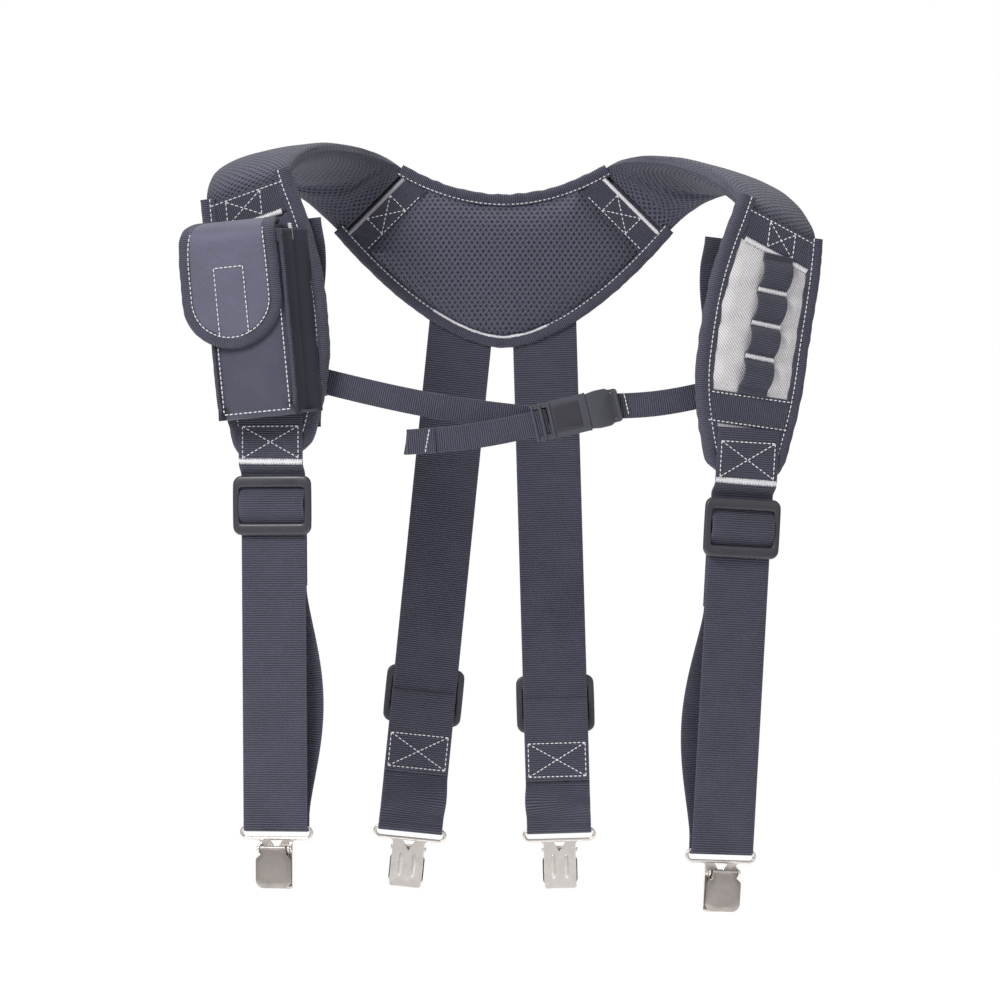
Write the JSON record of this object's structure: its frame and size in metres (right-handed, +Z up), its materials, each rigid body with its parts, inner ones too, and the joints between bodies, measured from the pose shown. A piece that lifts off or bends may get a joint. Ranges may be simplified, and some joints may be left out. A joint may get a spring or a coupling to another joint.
{
  "type": "padded tool belt suspenders",
  "caption": "Padded work suspenders for a tool belt: back yoke, shoulder pads, adjustable webbing straps with steel clips, phone pouch, tool loops and a chest strap.",
  "frame": {"origin": "middle of the back yoke's outer face", "axes": "+X to the wearer's left, +Y to the rear and out of the yoke's outer face, +Z up"},
  "size_m": [0.4834, 0.2221, 0.5836],
  "materials": {
    "black_webbing": "ribbed woven webbing",
    "air_mesh": "perforated knitted mesh over foam",
    "binding_tape": "woven edge tape",
    "black_fabric": "smooth coated fabric",
    "hook_and_loop": "napped",
    "grey_nylon": "coarse diagonal weave",
    "black_plastic": "satin moulded",
    "nickel_steel": "nickel plated"
  },
  "bodies": {
    "harness": {"left_panel_binding": "binding_tape", "left_panel_pad": "black_fabric", "left_panel_top_web": "black_webbing", "left_rail_web": "black_webbing", "left_shoulder_pad": "air_mesh", "pouch_body": "black_fabric", "pouch_hook_patch": "hook_and_loop", "right_panel_binding": "binding_tape", "right_panel_lower_band": "black_webbing", "right_panel_nylon_face": "grey_nylon", "right_panel_pad": "black_fabric", "right_panel_top_web": "black_webbing", "right_rail_web": "black_webbing", "right_shoulder_pad": "air_mesh", "tool_loop_web": "black_webbing", "yoke_backing": "black_fabric", "yoke_binding": "binding_tape", "yoke_cushion": "air_mesh", "yoke_left_end_web": "black_webbing", "yoke_right_end_web": "black_webbing"},
    "front_left_strap": {"front_left_webbing": "black_webbing"},
    "front_left_loop": {"front_left_return_webbing": "black_webbing"},
    "front_left_slider": {"front_left_slider": "black_plastic"},
    "front_left_clip": {"front_left_clip_frame": "nickel_steel", "front_left_clip_pin": "nickel_steel"},
    "front_left_lever": {"front_left_clip_lever": "nickel_steel"},
    "front_left_jaw": {"front_left_clip_jaw": "nickel_steel"},
    "front_right_strap": {"front_right_webbing": "black_webbing"},
    "front_right_loop": {"front_right_return_webbing": "black_webbing"},
    "front_right_slider": {"front_right_slider": "black_plastic"},
    "front_right_clip": {"front_right_clip_frame": "nickel_steel", "front_right_clip_pin": "nickel_steel"},
    "front_right_lever": {"front_right_clip_lever": "nickel_steel"},
    "front_right_jaw": {"front_right_clip_jaw": "nickel_steel"},
    "rear_left_strap": {"rear_left_webbing": "black_webbing"},
    "rear_left_loop": {"rear_left_return_webbing": "black_webbing"},
    "rear_left_slider": {"rear_left_slider": "black_plastic"},
    "rear_left_clip": {"rear_left_clip_frame": "nickel_steel", "rear_left_clip_pin": "nickel_steel"},
    "rear_left_lever": {"rear_left_clip_lever": "nickel_steel"},
    "rear_left_jaw": {"rear_left_clip_jaw": "nickel_steel"},
    "rear_right_strap": {"rear_right_webbing": "black_webbing"},
    "rear_right_loop": {"rear_right_return_webbing": "black_webbing"},
    "rear_right_slider": {"rear_right_slider": "black_plastic"},
    "rear_right_clip": {"rear_right_clip_frame": "nickel_steel", "rear_right_clip_pin": "nickel_steel"},
    "rear_right_lever": {"rear_right_clip_lever": "nickel_steel"},
    "rear_right_jaw": {"rear_right_clip_jaw": "nickel_steel"},
    "pouch_flap": {"pouch_flap": "black_fabric", "pouch_loop_patch": "hook_and_loop"},
    "chest_left": {"left_rail_slider": "black_plastic", "left_chest_webbing": "black_webbing", "chest_buckle_female": "black_plastic"},
    "chest_tail": {"chest_tail_webbing": "black_webbing"},
    "chest_right": {"right_rail_slider": "black_plastic", "right_chest_webbing": "black_webbing"},
    "buckle_male": {"chest_buckle_male": "black_plastic"},
    "upper_arm": {"chest_upper_release_arm": "black_plastic"},
    "lower_arm": {"chest_lower_release_arm": "black_plastic"}
  },
  "joints": [
    {"name": "pouch_flap_hinge", "type": "hinge", "parent": "harness", "child": "pouch_flap", "pos_m": [-0.20068, -0.17763, 0.01616], "axis": [-0.9662, 0.2409, -0.0914], "range_deg": [0, 85]},
    {"name": "front_left_swing", "type": "hinge", "parent": "harness", "child": "front_left_strap", "pos_m": [-0.1728, -0.17, -0.16], "axis": [0.9703, -0.2419, 0.0064], "range_deg": [-25, 25]},
    {"name": "front_left_adjust", "type": "slide", "parent": "front_left_strap", "child": "front_left_loop", "axis": [0.0065, 0, -1], "range_m": [0, 0.1], "stiffness_N_per_m": 300, "deforming": ["front_left_webbing"]},
    {"name": "front_left_slider_travel", "type": "slide", "parent": "front_left_loop", "child": "front_left_slider", "axis": [0.0065, 0, -1], "range_m": [0, 0.1], "deforming": ["front_left_return_webbing"]},
    {"name": "front_left_clip_swivel", "type": "hinge", "parent": "front_left_loop", "child": "front_left_clip", "pos_m": [-0.17037, -0.16748, -0.435], "axis": [0.9703, -0.2419, 0.0064], "range_deg": [-80, 80]},
    {"name": "front_left_lever_hinge", "type": "hinge", "parent": "front_left_clip", "child": "front_left_lever", "pos_m": [-0.17172, -0.1733, -0.451], "axis": [-0.9703, 0.2419, -0.0064], "range_deg": [0, 100]},
    {"name": "front_left_jaw_hinge", "type": "hinge", "parent": "front_left_clip", "child": "front_left_jaw", "pos_m": [-0.17172, -0.1733, -0.451], "axis": [-0.9703, 0.2419, -0.0064], "range_deg": [0, 12]},
    {"name": "front_right_swing", "type": "hinge", "parent": "harness", "child": "front_right_strap", "pos_m": [0.1788, -0.17, -0.175], "axis": [0.9384, 0.3416, -0.0521], "range_deg": [-25, 25]},
    {"name": "front_right_adjust", "type": "slide", "parent": "front_right_strap", "child": "front_right_loop", "axis": [-0.0554, 0, -0.9985], "range_m": [0, 0.1], "stiffness_N_per_m": 300, "deforming": ["front_right_webbing"]},
    {"name": "front_right_slider_travel", "type": "slide", "parent": "front_right_loop", "child": "front_right_slider", "axis": [-0.0554, 0, -0.9985], "range_m": [0, 0.1], "deforming": ["front_right_return_webbing"]},
    {"name": "front_right_clip_swivel", "type": "hinge", "parent": "front_right_loop", "child": "front_right_clip", "pos_m": [0.16251, -0.16756, -0.45245], "axis": [0.9384, 0.3416, -0.0521], "range_deg": [-80, 80]},
    {"name": "front_right_lever_hinge", "type": "hinge", "parent": "front_right_clip", "child": "front_right_lever", "pos_m": [0.16367, -0.1732, -0.46854], "axis": [-0.9384, -0.3416, 0.0521], "range_deg": [0, 100]},
    {"name": "front_right_jaw_hinge", "type": "hinge", "parent": "front_right_clip", "child": "front_right_jaw", "pos_m": [0.16367, -0.1732, -0.46854], "axis": [-0.9384, -0.3416, 0.0521], "range_deg": [0, 12]},
    {"name": "rear_left_swing", "type": "hinge", "parent": "harness", "child": "rear_left_strap", "pos_m": [-0.034, -0.00335, -0.061], "axis": [-0.9949, 0, 0.1004], "range_deg": [-25, 25]},
    {"name": "rear_left_adjust", "type": "slide", "parent": "rear_left_strap", "child": "rear_left_loop", "axis": [-0.1004, 0, -0.9949], "range_m": [-0.12, 0], "deforming": ["rear_left_webbing"]},
    {"name": "rear_left_slider_travel", "type": "slide", "parent": "rear_left_loop", "child": "rear_left_slider", "axis": [-0.1004, 0, -0.9949], "range_m": [-0.12, 0], "deforming": ["rear_left_return_webbing"]},
    {"name": "rear_left_clip_swivel", "type": "hinge", "parent": "rear_left_loop", "child": "rear_left_clip", "pos_m": [-0.0728, -0.00595, -0.4455], "axis": [-0.9949, 0, 0.1004], "range_deg": [-80, 80]},
    {"name": "rear_left_lever_hinge", "type": "hinge", "parent": "rear_left_clip", "child": "rear_left_lever", "pos_m": [-0.07441, 0.00005, -0.46142], "axis": [0.9949, 0, -0.1004], "range_deg": [0, 100]},
    {"name": "rear_left_jaw_hinge", "type": "hinge", "parent": "rear_left_clip", "child": "rear_left_jaw", "pos_m": [-0.07441, 0.00005, -0.46142], "axis": [0.9949, 0, -0.1004], "range_deg": [0, 12]},
    {"name": "rear_right_swing", "type": "hinge", "parent": "harness", "child": "rear_right_strap", "pos_m": [0.032, -0.00335, -0.065], "axis": [-0.9996, 0, -0.0288], "range_deg": [-25, 25]},
    {"name": "rear_right_adjust", "type": "slide", "parent": "rear_right_strap", "child": "rear_right_loop", "axis": [0.0288, 0, -0.9996], "range_m": [-0.12, 0], "deforming": ["rear_right_webbing"]},
    {"name": "rear_right_slider_travel", "type": "slide", "parent": "rear_right_loop", "child": "rear_right_slider", "axis": [0.0288, 0, -0.9996], "range_m": [-0.12, 0], "deforming": ["rear_right_return_webbing"]},
    {"name": "rear_right_clip_swivel", "type": "hinge", "parent": "rear_right_loop", "child": "rear_right_clip", "pos_m": [0.043, -0.00595, -0.4466], "axis": [-0.9996, 0, -0.0288], "range_deg": [-80, 80]},
    {"name": "rear_right_lever_hinge", "type": "hinge", "parent": "rear_right_clip", "child": "rear_right_lever", "pos_m": [0.04346, 0.00005, -0.46259], "axis": [0.9996, 0, 0.0288], "range_deg": [0, 100]},
    {"name": "rear_right_jaw_hinge", "type": "hinge", "parent": "rear_right_clip", "child": "rear_right_jaw", "pos_m": [0.04346, 0.00005, -0.46259], "axis": [0.9996, 0, 0.0288], "range_deg": [0, 12]},
    {"name": "chest_height", "type": "slide", "parent": "harness", "child": "chest_left", "axis": [0, 0, 1], "range_m": [-0.002, 0.04]},
    {"name": "chest_height_right", "type": "slide", "parent": "harness", "child": "chest_right", "axis": [0, 0, 1], "range_m": [-0.002, 0.04]},
    {"name": "chest_length_pull", "type": "slide", "parent": "chest_left", "child": "chest_tail", "axis": [-0.9806, -0.1018, -0.1673], "range_m": [-0.03, 0.04], "deforming": ["chest_tail_webbing"]},
    {"name": "chest_release", "type": "slide", "parent": "chest_right", "child": "buckle_male", "axis": [0.9744, 0, 0.225], "range_m": [0, 0.03], "deforming": ["right_chest_webbing"]},
    {"name": "upper_arm_press", "type": "hinge", "parent": "buckle_male", "child": "upper_arm", "pos_m": [0.0682, -0.182, -0.11403], "axis": [0, -1, 0], "range_deg": [0, 8.01]},
    {"name": "lower_arm_press", "type": "hinge", "parent": "buckle_male", "child": "lower_arm", "pos_m": [0.07202, -0.182, -0.13059], "axis": [0, 1, 0], "range_deg": [0, 8.01]}
  ],
  "couplings": [
    {"joint": "front_left_slider_travel", "follows": "front_left_adjust", "ratio": 1},
    {"joint": "front_left_jaw_hinge", "follows": "front_left_lever_hinge", "ratio": 0.12},
    {"joint": "front_right_slider_travel", "follows": "front_right_adjust", "ratio": 1},
    {"joint": "front_right_jaw_hinge", "follows": "front_right_lever_hinge", "ratio": 0.12},
    {"joint": "rear_left_slider_travel", "follows": "rear_left_adjust", "ratio": 1},
    {"joint": "rear_left_jaw_hinge", "follows": "rear_left_lever_hinge", "ratio": 0.12},
    {"joint": "rear_right_slider_travel", "follows": "rear_right_adjust", "ratio": 1},
    {"joint": "rear_right_jaw_hinge", "follows": "rear_right_lever_hinge", "ratio": 0.12},
    {"joint": "chest_height_right", "follows": "chest_height", "ratio": 1},
    {"joint": "upper_arm_press", "follows": "chest_release", "rad_per_m": 4.6542},
    {"joint": "lower_arm_press", "follows": "chest_release", "rad_per_m": 4.6542}
  ]
}
